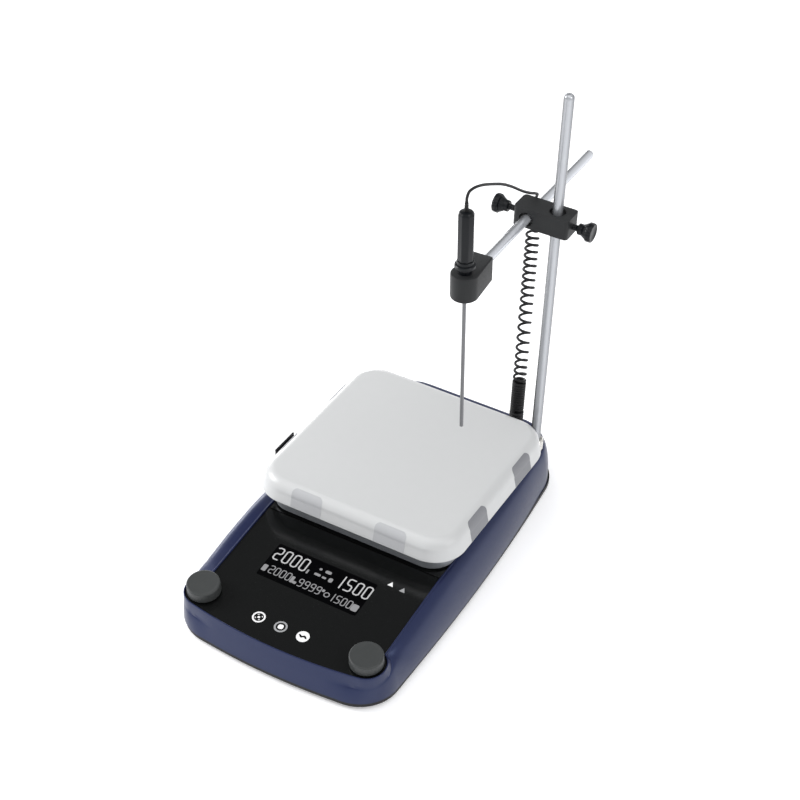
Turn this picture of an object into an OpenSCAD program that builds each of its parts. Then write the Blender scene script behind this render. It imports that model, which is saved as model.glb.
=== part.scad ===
// Hotplate magnetic stirrer with a support rod, a clamped cross arm and a temperature probe.
// The origin is on the stirring axis, on the surface that the feet stand on. +X is right, +Y is back, +Z is up.

/* [Housing] */
// Half of the housing's greatest width, at its lip
half_w = 97; // [95:0.5:98]
// How far the front of the lip lies before the stirring axis
front_y = 209.5; // [208:0.5:211]
// How far the back of the lip lies behind the stirring axis
back_y = 134.5; // [134:0.5:138]
// Height of the lip above the table
lip_z = 8; // [7:0.5:9]
// Height of the rear deck's top face
deck_z = 44; // [43.5:0.5:45]
// Slope of the control panel, in degrees
panel_tilt = 6; // [5.5:0.1:6.2]

/* [Top plate] */
// Width of the square plate at the foot of its walls
plate_w = 184; // [180:1:186]
// Height of the plate's top face above the table
plate_z = 80.5; // [80:0.5:84]
// Height of the plate's walls
plate_wall_h = 18.5; // [17:0.5:19]
// Radius of the plate's corners
plate_r = 28; // [20:1:30]
// Radius of the rounded edge round the plate's top
plate_fillet = 10; // [6:1:12]

/* [Controls] */
// Radius of a rotary knob
knob_r = 13.6; // [12:0.2:13.8]
// Height of a rotary knob's body
knob_h = 8.8; // [7:0.2:12]
// Radius of a push button
button_r = 5.6; // [5:0.1:6]
// Travel of a push button
button_travel = 0.6; // [0.4:0.1:0.8]

/* [Support] */
// Diameter of the support rod
rod_d = 8.4; // [8:0.1:9]
// Height of the support rod's top
rod_top_z = 384; // [350:1:420]
// Diameter of the cross rod
arm_d = 8; // [7.5:0.1:8.5]
// Height of the cross rod's axis
arm_z = 272; // [262:1:290]
// Diameter of the probe's needle
probe_d = 3; // [2.5:0.1:3.2]

/* [Hidden] */

$fn = 64;
gap = 0.2;
wall = 2.5;

// Colours
blue = [0.30, 0.34, 0.50];
black = [0.09, 0.09, 0.10];
dark = [0.20, 0.20, 0.21];
white = [0.90, 0.90, 0.90];
grey = [0.55, 0.56, 0.58];
steel = [0.78, 0.79, 0.81];
green = [0.10, 0.35, 0.20];
copper = [0.72, 0.45, 0.25];

// Housing
knob_x = 73.7;
knob_y = -183.5;
boss_r = 17;
pocket_r = 14.9;
side_arc_r = 2100;
side_arc_y = -80;
front_arc_r = 530;
rear_r = 38;
rear_x = 51.5;
front_r = 34;
front_x = 61.5;
front_corner_y = -172;
ridge_up = 1.4;
panel_x = 81.5;
panel_front_y = -205;
panel_arc_r = 441;
panel_front_z = 31.5;
panel_t = 3;
deck_y = -84;
deck_back_y = 122.3;
deck_corner_r = 26;
deck_corner_x = 51;

// Along the sloped panel: distance from its front edge, and the height of its face above the table
function slope_v(y) = (y - panel_front_y) / cos(panel_tilt);
function side_x(y) = half_w - pow(y - side_arc_y, 2) / (2 * side_arc_r);
function front_curve(x, y0, r) = -y0 + x * x / (2 * r);

// Display and buttons, from the stirring axis
display_x = -3;
display_y = -131;
display_w = 90.6;
display_d = 35.4;
button_y = -185;
button_xs = [-22, -2, 18];
button_rise = 0.25;
button_gap = 0.25;
knob_gap = 1.6;

// Top plate and tray
tray_w = 164;
tray_r = 20;
tray_z = 46;
tray_top_z = 68;
slab_t = 8;
flare = 2.5;
insert_x = 38.3;
insert_w = 28;
insert_top_z = 76.5;
insert_in = 2.5;
plate_foot_z = plate_z - plate_wall_h;

// Drive
shaft_r = 3;
stator_r = 27;
holder_z = 49;

// Support
rod_x = 73;
rod_y = 100;
block_x0 = 39.6;
block_x1 = 86.6;
block_y0 = 89.8;
block_y1 = 110.2;
block_h = 17;
block_z = arm_z - 7.8;
arm_x = 51;
arm_front_y = 8;
arm_back_y = 206;
probe_y = -11;
holder_front_r = 11;
holder_back_w = 17.5;
holder_back_y = 18;
holder_top = arm_z + 8.6;
holder_bottom = arm_z - 12.6;
probe_tilt = -2.1;
collar_z = arm_z + 11.6;
handle_z = arm_z + 19.5;
handle_top = arm_z + 61;
needle_tip = 137;

// Cord: the thin cable's route, and the curly part below it
cable_d = 2.3;
coil_d = 12;
coil_x = 46.5;
coil_y = 116;
coil_top_z = 250;
coil_foot_z = 62;
plug_y = 114;
cable_route = [[48.5, -11, 341], [48.4, -10.6, 344.5], [48.5, -8, 347.6], [49.2, -3, 348.2], [50, 4, 346.8],
    [50.2, 14, 342.8], [50, 29, 335.4], [50, 45, 326.9], [50, 62, 315.9], [49.6, 82, 301.6], [49.8, 96, 292.6],
    [49.8, 105.5, 287.2], [49.2, 112.2, 282.8], [47.2, 115.6, 278.4], [45.2, 116.6, 273], [45.2, 116.4, 267],
    [46.2, 116, 261], [46.5, 116, 256], [46.5, 116, 253], [46.5, 116, 250]];

// ---- Shared shapes ----

// A rounded rectangle with round arcs at its corners
module rounded(w, d, r) {
    square([w - 2 * r, d], center = true);
    square([w, d - 2 * r], center = true);
    for (x = [-1, 1], y = [-1, 1])
        translate([x * (w / 2 - r), y * (d / 2 - r)])
            circle(r);
}

// The housing's outline, drawn in from the lip by side_in at the sides and by end_in at the ends. Its front
// corners are wide arcs, or, where boss is over 0, arcs of that radius round the knobs' axes.
module housing_outline(side_in = 0, end_in = 0, boss = 0) {
    corner_r = rear_r - side_in / 2;
    hull() {
        polygon([
            for (x = [-60:12:60]) [x, front_curve(x, front_y - end_in, front_arc_r)],
            for (y = [-140:20:60]) [side_x(y) - side_in, y],
            for (y = [60:-20:-140]) [side_in - side_x(y), y]
        ]);
        for (s = [-1, 1]) {
            if (boss > 0)
                translate([s * knob_x, knob_y])
                    circle(boss, $fn = 48);
            else
                translate([s * (front_x - side_in / 2), front_corner_y + end_in / 2])
                    circle(front_r - max(side_in, end_in) / 2, $fn = 64);
            translate([s * (rear_x - side_in / 2), back_y - end_in - corner_r])
                circle(corner_r, $fn = 64);
        }
    }
}

// The opening inside the ridge, up to the back y; grow widens it all round
module top_opening(grow = 0) {
    offset(delta = grow, chamfer = false) {
        polygon([
            for (x = [-knob_x:knob_x / 8:knob_x]) [x, front_curve(x, -panel_front_y, panel_arc_r)],
            [knob_x, deck_y],
            [-knob_x, deck_y]
        ]);
        for (s = [-1, 1])
            translate([s * knob_x, knob_y])
                circle(pocket_r, $fn = 48);
        translate([-panel_x, knob_y])
            square([2 * panel_x, deck_y - knob_y + 1]);
        hull() {
            translate([-panel_x, deck_y])
                square([2 * panel_x, 10]);
            for (s = [-1, 1])
                translate([s * deck_corner_x, deck_back_y - deck_corner_r])
                    circle(deck_corner_r, $fn = 64);
        }
    }
}

// Moves children onto the sloped panel: x across, y up the slope, z out of its face
module on_panel(x = 0, y = panel_front_y, up = 0) {
    translate([x, panel_front_y, panel_front_z])
        rotate([panel_tilt, 0, 0])
            translate([0, slope_v(y), up])
                children();
}

// A solid between the lip and the ridge; inset makes it smaller all round, and low brings its top down
module housing_body(inset = 0, low = 0) {
    hull() {
        translate([0, 0, lip_z])
            linear_extrude(3)
                housing_outline(inset, inset);
        translate([0, 0, 22])
            linear_extrude(2)
                housing_outline(2.2 + inset, 1 + inset);
        translate([0, 0, ridge_up - low])
            on_panel()
                linear_extrude(0.1)
                    translate([0, -panel_front_y])
                        intersection() {
                            housing_outline(7 + inset, 3 + inset, boss_r - inset);
                            translate([-120, -220])
                                square([240, 220 + deck_y]);
                        }
        translate([0, 0, deck_z + ridge_up - low - 4])
            linear_extrude(0.1)
                intersection() {
                    housing_outline(4 + inset, 3 + inset);
                    translate([-120, deck_y])
                        square([240, 240]);
                }
        translate([0, 0, deck_z + ridge_up - low])
            linear_extrude(0.1)
                intersection() {
                    housing_outline(7 + inset, 8.5 + inset);
                    translate([-120, deck_y])
                        square([240, 240]);
                }
    }
}

// A round bar along +Z with a small round edge at its top
module round_top(r, h, edge) {
    rotate_extrude() {
        square([r, h - edge]);
        square([r - edge, h]);
        translate([r - edge, h - edge])
            intersection() {
                circle(edge);
                square(edge);
            }
    }
}

// Moves children to a hole pattern, one at each corner
module at_corners(x, y) {
    for (sx = [-1, 1], sy = [-1, 1])
        translate([sx * x, sy * y])
            children();
}

// ---- Housing ----

module upper_housing() {
    color(blue)
        difference() {
            housing_body();
            difference() {
                housing_body(wall, 6);
                for (p = boss_places)
                    translate([p[0], p[1], 0])
                        cylinder(r = 4.6, h = 60);
            }
            translate([0, 0, lip_z - 1])
                linear_extrude(1.6)
                    housing_outline(wall, wall);
            for (p = boss_places)
                translate([p[0], p[1], 0])
                    cylinder(r = 1.5, h = 20);
            translate([0, 0, lip_z + 14])
                linear_extrude(60)
                    top_opening();
            translate([inlet_x, back_y - 6, rear_panel_z])
                cube([inlet_w + 2 * gap, 40, inlet_h + 2 * gap], center = true);
            translate([switch_x, back_y - 6, rear_panel_z])
                cube([switch_w + 2 * gap, 40, switch_h + 2 * gap], center = true);
            translate([rod_x, rod_y, 13])
                cylinder(r = 6.4, h = 60);
            translate([rod_x, rod_y, deck_z - 0.1])
                cylinder(r = 7.2, h = 60);
        }
}

cover_z = 3.6;
foot_x = 70;
foot_ys = [-165, 95];
foot_r = 8;
boss_places = [for (s = [-1, 1], p = [[89, -120], [85.5, 60]]) [s * p[0], p[1]]];
fan_x = -45;
fan_y = 70;
fan_w = 50;
fan_h = 15;
inlet_x = -28;
inlet_w = 30;
inlet_h = 22;
inlet_z_low = 14;
switch_x = 22;
switch_w = 22;
switch_h = 15;
rear_panel_z = 25;

module bottom_cover() {
    color(black)
        difference() {
            union() {
                translate([0, 0, cover_z])
                    linear_extrude(lip_z - gap - cover_z)
                        housing_outline(1.2, 1.2);
                translate([0, 0, lip_z - gap - 0.5])
                    linear_extrude(3)
                        housing_outline(wall + 0.5, wall + 0.5);
            }
            translate([0, 0, cover_z + 2])
                linear_extrude(10)
                    housing_outline(wall + 2.5, wall + 2.5);
            for (p = boss_places)
                translate([p[0], p[1], cover_z + 2])
                    cylinder(r = 5, h = 10);
            for (p = boss_places)
                translate([p[0], p[1], 0])
                    cylinder(r = 1.7, h = 20);
            for (p = boss_places)
                translate([p[0], p[1], 0])
                    cylinder(r = 3.1, h = cover_z + 1.2);
            for (i = [-3:3])
                translate([fan_x + i * 6, fan_y, cover_z])
                    cube([3, 38, 10], center = true);
            for (i = [-4:4])
                translate([50 + i * 6, -60, cover_z])
                    cube([3, 50, 10], center = true);
            for (sx = [-1, 1], y = foot_ys)
                translate([sx * foot_x, y, 0])
                    cylinder(r = foot_r, h = cover_z + 1);
        }
}

module rubber_feet() {
    color(dark)
        for (sx = [-1, 1], y = foot_ys)
            translate([sx * foot_x, y, 0])
                cylinder(r1 = foot_r - 1.2, r2 = foot_r - 0.1, h = cover_z + 0.9);
}

module cover_screws() {
    color(steel)
        for (p = boss_places)
            translate([p[0], p[1], cover_z + 0.1])
                difference() {
                    union() {
                        cylinder(r = 2.9, h = 1);
                        cylinder(r = 1.45, h = 15.5);
                    }
                    translate([0, 0, -1])
                        cylinder(r = 1.5, h = 1.7, $fn = 6);
                }
}

// ---- Control panel and deck ----

module control_panel() {
    color(black)
        difference() {
            on_panel(0, panel_front_y, -panel_t)
                linear_extrude(panel_t)
                    translate([0, -panel_front_y])
                        intersection() {
                            top_opening(-gap);
                            translate([-100, -220])
                                square([200, 220 + deck_y - gap]);
                        }
            on_panel(display_x, display_y, -10)
                linear_extrude(20)
                    rounded(display_w + 0.3, display_d + 0.3, 1.6);
            for (x = button_xs)
                on_panel(x, button_y, -10)
                    cylinder(r = button_r + button_gap, h = 20);
            for (s = [-1, 1])
                on_panel(s * knob_x, knob_y, -10)
                    cylinder(r = 4.2, h = 20);
        }
}

module rear_deck() {
    color(black)
        difference() {
            union() {
                translate([0, 0, deck_z - panel_t])
                    linear_extrude(panel_t)
                        intersection() {
                            top_opening(-gap);
                            translate([-100, deck_y + gap])
                                square([200, 300]);
                        }
                at_corners(70, 70)
                    translate([0, 0, deck_z - 1])
                        cylinder(r = 5, h = tray_z - deck_z + 1);
            }
            translate([0, 0, 30])
                cylinder(r = 8, h = 30);
            translate([rod_x, rod_y, 30])
                cylinder(r = 6.4, h = 30);
            translate([coil_x, plug_y, 30])
                cylinder(r = 5.7, h = 30);
        }
}

module display_window() {
    color(dark)
        on_panel(display_x, display_y, -3)
            linear_extrude(3)
                rounded(display_w, display_d, 1.5);
}

module display_module() {
    color(grey)
        on_panel(display_x, display_y, -8.5)
            difference() {
                linear_extrude(5)
                    rounded(display_w + 8, display_d + 6, 2);
                translate([0, 0, 4])
                    linear_extrude(3)
                        rounded(display_w - 4, display_d - 4, 1);
            }
}

board_y = -158;

module main_board() {
    color(green)
        on_panel(0, board_y, -14)
            difference() {
                linear_extrude(1.6) {
                    rounded(120, 70, 3);
                    translate([0, -23])
                        rounded(164, 30, 8);
                }
                at_corners(56, 30)
                    cylinder(r = 1.6, h = 10, center = true);
            }
}

module button_switches() {
    color(dark)
        for (x = button_xs)
            on_panel(x, button_y, -12.4) {
                translate([-3, -3, 0])
                    cube([6, 6, 3.4]);
                cylinder(r = 1.6, h = 4.3);
            }
}

module power_board() {
    color(green) {
        translate([10, 30, 11])
            cube([62, 62, 1.6]);
        translate([16, 36, 12.7])
            cube([14, 20, 12]);
        for (i = [0:2])
            translate([40 + i * 12, 82, 12.7])
                cylinder(r = 4.5, h = 16);
    }
}

module transformer() {
    color(copper)
        translate([36, 36, 12.7])
            difference() {
                cube([32, 30, 24]);
                translate([6, -1, 5])
                    cube([6, 32, 14]);
            }
}

// ---- Knobs and buttons ----

module encoder(s) {
    color(grey)
        on_panel(s * knob_x, knob_y, -12.2)
            difference() {
                union() {
                    translate([-6, -6.5, 0])
                        cube([12, 13, 6.5]);
                    cylinder(r = 4, h = 11.8);
                }
                translate([0, 0, 1.5])
                    cylinder(r = shaft_r + 0.05, h = 20);
            }
}

module knob(s) {
    color(dark)
        on_panel(s * knob_x, knob_y, knob_gap) {
            round_top(knob_r, knob_h, 1.2);
            translate([0, 0, -9.5])
                cylinder(r = shaft_r, h = 9.6);
        }
}

module left_encoder() encoder(-1);
module right_encoder() encoder(1);
module left_knob() knob(-1);
module right_knob() knob(1);

module button(x) {
    color(dark)
        on_panel(x, button_y, -4.2) {
            cylinder(r = button_r, h = 4.2 + button_rise);
            cylinder(r = button_r + 1.2, h = 0.9);
            translate([0, 0, -3])
                cylinder(r = 1.8, h = 3.1);
        }
}

module left_button() button(button_xs[0]);
module middle_button() button(button_xs[1]);
module right_button() button(button_xs[2]);

// ---- Top plate and heater ----

module plate_tray() {
    color(grey)
        difference() {
            translate([0, 0, tray_z])
                linear_extrude(tray_top_z - tray_z)
                    rounded(tray_w, tray_w, tray_r);
            translate([0, 0, tray_z + 2])
                linear_extrude(tray_top_z)
                    rounded(tray_w - 4, tray_w - 4, tray_r - 2);
            translate([0, 0, tray_z - 1])
                cylinder(r = 8, h = 5);
        }
}

module insulation_disc() {
    color(white)
        translate([0, 0, 60])
            cylinder(r = 74, h = 4);
}

module heating_element() {
    color(copper)
        translate([0, 0, 68])
            for (r = [16, 30, 44, 57, 70])
                rotate_extrude()
                    translate([r, 0])
                        circle(3.2);
}

module plate_standoffs() {
    color(steel)
        translate([0, 0, tray_z + 2])
            at_corners(56, 56)
                cylinder(r = 4, h = plate_z - slab_t - tray_z - 2.05);
}

// The plate's outline at a height: rounded square, drawn in by inset
module plate_layer(z, inset, t = 0.05) {
    translate([0, 0, z])
        linear_extrude(t)
            rounded(plate_w - 2 * inset, plate_w - 2 * inset, plate_r - inset, $fn = 48);
}

module insert_box(depth, w, z0, top) {
    for (a = [0:90:270], s = [-1, 1])
        rotate([0, 0, a])
            translate([s * insert_x, -plate_w / 2, 0])
                translate([-w / 2, -4, z0])
                    cube([w, 4 + depth, top - z0]);
}

module plate_shell() {
    hull() {
        plate_layer(plate_foot_z, 0);
        plate_layer(plate_z - plate_fillet, flare * 0.8);
        for (a = [18:24:90])
            plate_layer(plate_z - plate_fillet * (1 - sin(a)) - 0.05, flare + plate_fillet * (1 - cos(a)));
    }
}

module top_plate() {
    color(white)
        difference() {
            plate_shell();
            translate([0, 0, plate_foot_z - 1])
                linear_extrude(plate_wall_h + 1 - slab_t)
                    rounded(plate_w - 13, plate_w - 13, plate_r - 6);
            insert_box(insert_in + 0.1, insert_w, plate_foot_z - 1, insert_top_z);
        }
}

module plate_inserts() {
    color(grey)
        intersection() {
            plate_shell();
            difference() {
                insert_box(insert_in, insert_w - 0.4, plate_foot_z + 0.8, insert_top_z - 0.3);
                insert_box(0.4, insert_w + 1, plate_foot_z - 1, 90);
            }
        }
}

module plate_clip() {
    color(black)
        translate([-plate_w / 2 - 1.5, -50, plate_foot_z + 4])
            cube([1.3, 27, 8]);
}

// ---- Stirring drive ----

module motor_bracket() {
    color(steel)
        translate([0, 0, cover_z + 2.1])
            difference() {
                union() {
                    linear_extrude(2)
                        rounded(96, 60, 8);
                    at_corners(42, 22)
                        cylinder(r = 4, h = 6);
                }
                at_corners(42, 22)
                    cylinder(r = 1.8, h = 20, center = true);
            }
}

module motor_stator() {
    color(dark)
        translate([0, 0, cover_z + 4.2])
            difference() {
                union() {
                    cylinder(r = stator_r, h = 28);
                    cylinder(r = 9, h = 31);
                }
                translate([0, 0, 3])
                    cylinder(r = shaft_r + 0.05, h = 40);
            }
}

module motor_shaft() {
    color(steel)
        translate([0, 0, cover_z + 8])
            cylinder(r = shaft_r, h = holder_z + 5 - cover_z - 8);
}

module magnet_holder() {
    color(grey)
        translate([0, 0, holder_z])
            difference() {
                linear_extrude(8)
                    rounded(68, 22, 10);
                translate([0, 0, -1])
                    cylinder(r = shaft_r + 0.05, h = 6.1);
                for (s = [-1, 1])
                    translate([s * 23, 0, 2])
                        cylinder(r = 8, h = 10);
            }
}

module drive_magnets() {
    color(steel)
        for (s = [-1, 1])
            translate([s * 23, 0, holder_z + 2])
                cylinder(r = 7.9, h = 6.6);
}

// ---- Fan ----

module fan_frame() {
    color(black)
        translate([fan_x, fan_y, cover_z + 2.1])
            difference() {
                linear_extrude(fan_h)
                    rounded(fan_w, fan_w, 3);
                translate([0, 0, -1])
                    cylinder(r = 23, h = 8);
                translate([0, 0, 6])
                    cylinder(r = 23, h = 20);
                at_corners(21, 21)
                    cylinder(r = 1.8, h = 60, center = true);
            }
    color(black)
        translate([fan_x, fan_y, cover_z + 2.1])
            for (a = [0:90:270])
                rotate([0, 0, a])
                    translate([3, -1.5, 0])
                        cube([20.5, 3, 1.6]);
    color(black)
        translate([fan_x, fan_y, cover_z + 2.1])
            difference() {
                cylinder(r = 5, h = 3);
                translate([0, 0, 1])
                    cylinder(r = 1.55, h = 5);
            }
}

module fan_rotor() {
    color(dark)
        translate([fan_x, fan_y, cover_z + 5.6]) {
            cylinder(r = 9, h = 10);
            translate([0, 0, -2.4])
                cylinder(r = 1.5, h = 2.6);
            for (a = [0:360 / 7:359])
                rotate([0, 0, a])
                    translate([8, 0, 5])
                        rotate([35, 0, 0])
                            translate([0, -0.7, -5.4])
                                cube([13.6, 1.4, 10.8]);
        }
}

// ---- Rear panel parts ----

rear_face_y = back_y - 1.5;

module power_inlet() {
    color(black)
        translate([inlet_x, rear_face_y, rear_panel_z]) {
            difference() {
                translate([-inlet_w / 2, -20, -inlet_h / 2])
                    cube([inlet_w, 20, inlet_h]);
                translate([-12.2, -15, -6.8])
                    cube([24.4, 16, 15.6]);
                translate([-11, -13, -inlet_h / 2 - 1])
                    cube([22, 14, 3.4]);
            }
            for (p = [[-7, -1], [7, -1], [0, 4]])
                translate([p[0] - 1, -15.5, p[1] - 2])
                    cube([2, 9.5, 4]);
        }
}

module fuse_drawer() {
    color(dark)
        translate([inlet_x - 10.8, rear_face_y - 12.6, rear_panel_z - inlet_h / 2 + 0.2])
            cube([21.6, 13.2, 2]);
}

module switch_frame() {
    color(black)
        translate([switch_x, rear_face_y, rear_panel_z])
            difference() {
                translate([-switch_w / 2, -14, -switch_h / 2])
                    cube([switch_w, 14, switch_h]);
                translate([-8.5, -11, -5.5])
                    cube([17, 12, 11]);
                translate([-9.7, -6.5, 0])
                    rotate([0, 90, 0])
                        cylinder(r = 1.6, h = 19.4);
            }
}

rocker_tilt = 8;

module power_rocker() {
    color(dark)
        translate([switch_x, rear_face_y - 6.5, rear_panel_z])
            rotate([-rocker_tilt, 0, 0])
                rotate([90, 0, 90]) {
                    translate([0, 0, -8])
                        linear_extrude(16)
                            polygon([[-3, -3.4], [7.6, -4.1], [6.8, 0], [7.6, 4.1], [-3, 3.4]]);
                    translate([0, 0, -9.5])
                        cylinder(r = 1.5, h = 19);
                }
}

// ---- Support rod, clamp and arm ----

module rod_socket() {
    color(steel)
        translate([rod_x, rod_y, 0])
            difference() {
                union() {
                    translate([0, 0, 14])
                        cylinder(r = 6.2, h = deck_z - 14);
                    translate([0, 0, deck_z])
                        cylinder(r = 7, h = 8.5);
                    translate([0, 0, deck_z + 8.5])
                        cylinder(r1 = 7, r2 = 5.8, h = 1.5);
                }
                translate([0, 0, 18])
                    cylinder(r = rod_d / 2 + 0.05, h = 60);
            }
}

module probe_socket() {
    color(dark)
        translate([coil_x, plug_y, 0])
            difference() {
                union() {
                    translate([0, 0, deck_z - 12])
                        cylinder(r = 5.5, h = 12);
                    translate([0, 0, deck_z])
                        cylinder(r = 7, h = 2);
                }
                translate([0, 0, deck_z - 9])
                    cylinder(r = 4, h = 20);
            }
}

module support_rod() {
    color(steel)
        translate([rod_x, rod_y, 20])
            round_top(rod_d / 2, rod_top_z - 20, 3.4);
}

module clamp_block() {
    w = block_x1 - block_x0;
    d = block_y1 - block_y0;
    color(dark)
        difference() {
            translate([(block_x0 + block_x1) / 2, (block_y0 + block_y1) / 2, block_z])
                linear_extrude(block_h)
                    rounded(w, d, 3);
            translate([rod_x, rod_y, block_z - 1])
                cylinder(r = rod_d / 2 + 0.08, h = 40);
            translate([rod_x, rod_y, block_z + block_h - 3])
                cylinder(r = 6.6, h = 10);
            translate([arm_x, 150, arm_z])
                rotate([90, 0, 0])
                    cylinder(r = arm_d / 2 + 0.08, h = 100);
            translate([arm_x, block_y0 + 3, arm_z])
                rotate([90, 0, 0])
                    cylinder(r = 6, h = 10);
            translate([0, rod_y, arm_z])
                rotate([0, 90, 0])
                    cylinder(r = 2.55, h = arm_x - 4);
            translate([rod_x + 4, rod_y, arm_z])
                rotate([0, 90, 0])
                    cylinder(r = 2.55, h = 60);
        }
}

// A thumbscrew along +X: a stem, then a knob that flares to its end flange
module thumbscrew(stem) {
    rotate([0, 90, 0]) {
        cylinder(r = 2.5, h = stem + 4);
        translate([0, 0, stem])
            cylinder(r = 4.6, h = 4);
        translate([0, 0, stem + 4])
            cylinder(r1 = 5.2, r2 = 7.2, h = 3.5);
        translate([0, 0, stem + 7.5])
            cylinder(r = 7.8, h = 5);
    }
}

module rod_thumbscrew() {
    color(black)
        translate([rod_x + rod_d / 2 + 0.1, rod_y, arm_z])
            thumbscrew(14.6);
}

module arm_thumbscrew() {
    color(black)
        translate([arm_x - arm_d / 2 - 0.1, rod_y, arm_z])
            rotate([0, 0, 180])
                thumbscrew(15.4);
}

module cross_rod() {
    color(steel)
        translate([arm_x, arm_back_y, arm_z])
            rotate([90, 0, 0])
                cylinder(r = arm_d / 2, h = arm_back_y - arm_front_y);
}

module arm_end_cap() {
    color(black)
        translate([arm_x, arm_back_y, arm_z])
            rotate([-90, 0, 0])
                round_top(arm_d / 2 - 0.3, 1.6, 1);
}

// Turns children about the cross rod's axis, as the probe's holder stands on it
module on_arm() {
    translate([arm_x, 0, arm_z])
        rotate([0, probe_tilt, 0])
            translate([-arm_x, 0, -arm_z])
                children();
}

module probe_holder() {
    color(dark)
        on_arm()
            difference() {
                translate([0, 0, holder_bottom])
                    linear_extrude(holder_top - holder_bottom)
                        hull() {
                            translate([arm_x, probe_y])
                                circle(holder_front_r, $fn = 64);
                            translate([arm_x - holder_back_w / 2, holder_back_y - 4])
                                square([holder_back_w, 4]);
                        }
                translate([arm_x, holder_back_y + 1, arm_z])
                    rotate([90, 0, 0])
                        cylinder(r = arm_d / 2 + 0.06, h = 15);
                translate([arm_x, probe_y, 0])
                    cylinder(r = 5.2, h = 400);
                translate([0, holder_back_y - 6, arm_z])
                    rotate([0, 90, 0])
                        cylinder(r = 1.5, h = arm_x - 3);
            }
}

module holder_screw() {
    color(steel)
        on_arm()
            translate([arm_x - holder_back_w / 2 - 0.3, holder_back_y - 6, arm_z])
                rotate([0, 90, 0])
                    difference() {
                        cylinder(r = 1.45, h = 4);
                        translate([0, 0, -1])
                            cylinder(r = 0.7, h = 2.5, $fn = 6);
                    }
}

module probe_collar() {
    color(black)
        on_arm()
            translate([arm_x, probe_y, 0]) {
                translate([0, 0, collar_z])
                    cylinder(r = 8.4, h = 4.6, $fn = 8);
                translate([0, 0, collar_z + 4.6])
                    cylinder(r1 = 8, r2 = 6.4, h = 3.3);
                translate([0, 0, holder_bottom + 6])
                    cylinder(r = 5.1, h = collar_z - holder_bottom - 6);
            }
}

module probe_handle() {
    color(black)
        on_arm()
            translate([arm_x, probe_y, 0]) {
                translate([0, 0, handle_z])
                    cylinder(r = 6.3, h = handle_top - handle_z - 5, $fn = 8);
                translate([0, 0, handle_top - 5])
                    cylinder(r1 = 6, r2 = 3, h = 5);
            }
}

module probe_needle() {
    color(steel)
        on_arm()
            translate([arm_x, probe_y, needle_tip])
                cylinder(r = probe_d / 2, h = holder_bottom + 6 - needle_tip);
}

module cable_gland() {
    color(black)
        on_arm()
            translate([arm_x, probe_y, handle_top])
                cylinder(r1 = 2, r2 = 1.4, h = 8);
}

// ---- Cord ----

function unit(v) = v / norm(v);
function heading(p, i) = unit(p[min(i + 1, len(p) - 1)] - p[max(i - 1, 0)]);

// One ring of a tube: sides points round a route's point, square to its heading
function ring(c, h, r, sides) =
    let (u = unit(cross(h, [1, 0.2, 0.1])), w = cross(h, u))
        [for (k = [0:sides - 1]) c + r * (cos(360 * k / sides) * u + sin(360 * k / sides) * w)];

module tube(route, r, sides) {
    n = len(route);
    points = [for (i = [0:n - 1]) each ring(route[i], heading(route, i), r, sides)];
    walls = [for (i = [0:n - 2], k = [0:sides - 1])
        [i * sides + k, i * sides + (k + 1) % sides, (i + 1) * sides + (k + 1) % sides, (i + 1) * sides + k]];
    start = [for (k = [sides - 1:-1:0]) k];
    finish = [for (k = [0:sides - 1]) (n - 1) * sides + k];
    polyhedron(points, concat([start], walls, [finish]), convexity = 10);
}

// A route through its hand-set points, with steps points on each stretch of a smooth curve
function smooth(p, steps) = [
    for (i = [0:len(p) - 2], s = [0:steps - 1])
        let (t = s / steps, a = p[max(i - 1, 0)], b = p[i], c = p[i + 1], d = p[min(i + 2, len(p) - 1)])
            0.5 * (2 * b + (c - a) * t + (2 * a - 5 * b + 4 * c - d) * t * t + (3 * b - a - 3 * c + d) * t * t * t),
    p[len(p) - 1]
];

module probe_cable() {
    color(black)
        tube(smooth(cable_route, 3), cable_d / 2, 8);
}

module cable_coil() {
    color(black)
        translate([coil_x, coil_y, coil_foot_z])
            cylinder(r = coil_d / 2, h = coil_top_z - coil_foot_z);
}

module coil_plug() {
    color(black)
        translate([coil_x, plug_y, 0]) {
            translate([0, 0, deck_z - 8])
                cylinder(r = 3.8, h = 10.4);
            translate([0, 0, deck_z + 2.2])
                cylinder(r = 6, h = 10);
            translate([0, 1, deck_z + 12])
                cylinder(r1 = 4.5, r2 = 2.5, h = coil_foot_z - deck_z - 12);
        }
}

upper_housing();
bottom_cover();
rubber_feet();
cover_screws();
control_panel();
rear_deck();
display_window();
display_module();
main_board();
button_switches();
power_board();
transformer();
left_encoder();
right_encoder();
left_knob();
right_knob();
left_button();
middle_button();
right_button();
plate_tray();
insulation_disc();
heating_element();
plate_standoffs();
top_plate();
plate_inserts();
plate_clip();
motor_bracket();
motor_stator();
motor_shaft();
magnet_holder();
drive_magnets();
fan_frame();
fan_rotor();
power_inlet();
fuse_drawer();
switch_frame();
power_rocker();
rod_socket();
probe_socket();
support_rod();
clamp_block();
rod_thumbscrew();
arm_thumbscrew();
cross_rod();
arm_end_cap();
probe_holder();
holder_screw();
probe_handle();
probe_collar();
probe_needle();
cable_gland();
probe_cable();
cable_coil();
coil_plug();
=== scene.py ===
"""Hotplate stirrer with support rod, clamp, probe and curly cord: the visual model over its CAD frame."""
import math

import bmesh
import bpy
from mathutils import Matrix, Vector


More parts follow.
